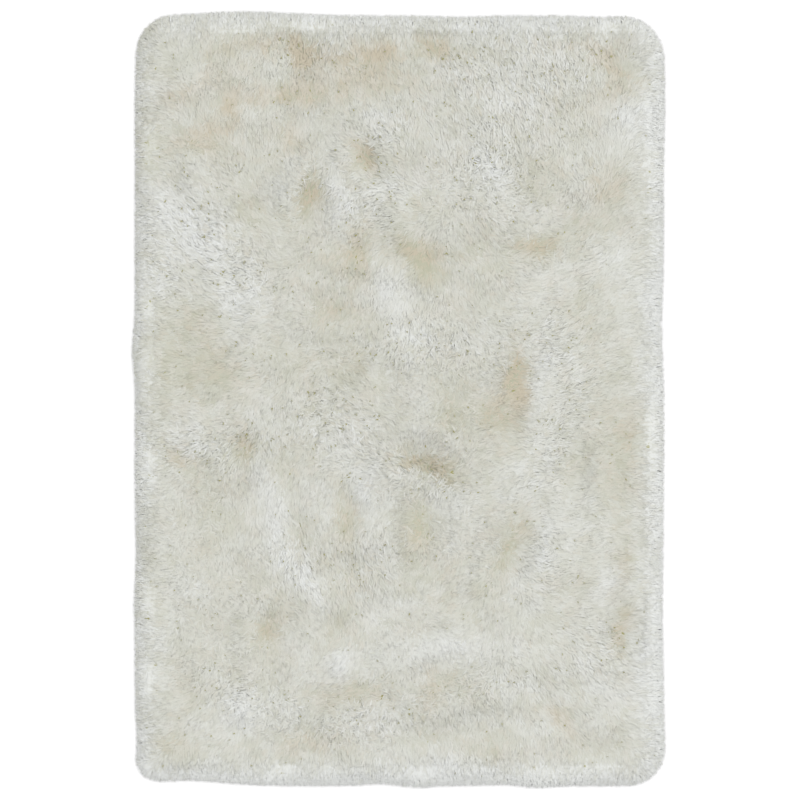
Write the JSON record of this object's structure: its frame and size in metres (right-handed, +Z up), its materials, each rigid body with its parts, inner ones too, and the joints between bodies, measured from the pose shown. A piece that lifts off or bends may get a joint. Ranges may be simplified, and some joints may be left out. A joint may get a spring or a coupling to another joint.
{
  "type": "shag rug",
  "caption": "Rectangular ivory shag rug with rounded corners, lying flat: a base cloth under a deep, lumpy pile whose outer locks lean out onto the floor.",
  "frame": {"origin": "on the floor, under the middle of the rug's outline", "axes": "+X across the rug, +Y along its length, +Z up out of the pile"},
  "size_m": [1.602, 2.333, 0.0549],
  "materials": {
    "base_cloth": "plain woven cotton blend, matt",
    "pile_yarn": "long polyester pile, soft silky sheen"
  },
  "bodies": {
    "root": {"backing": "base_cloth", "shag_pile": "pile_yarn"}
  },
  "joints": []
}
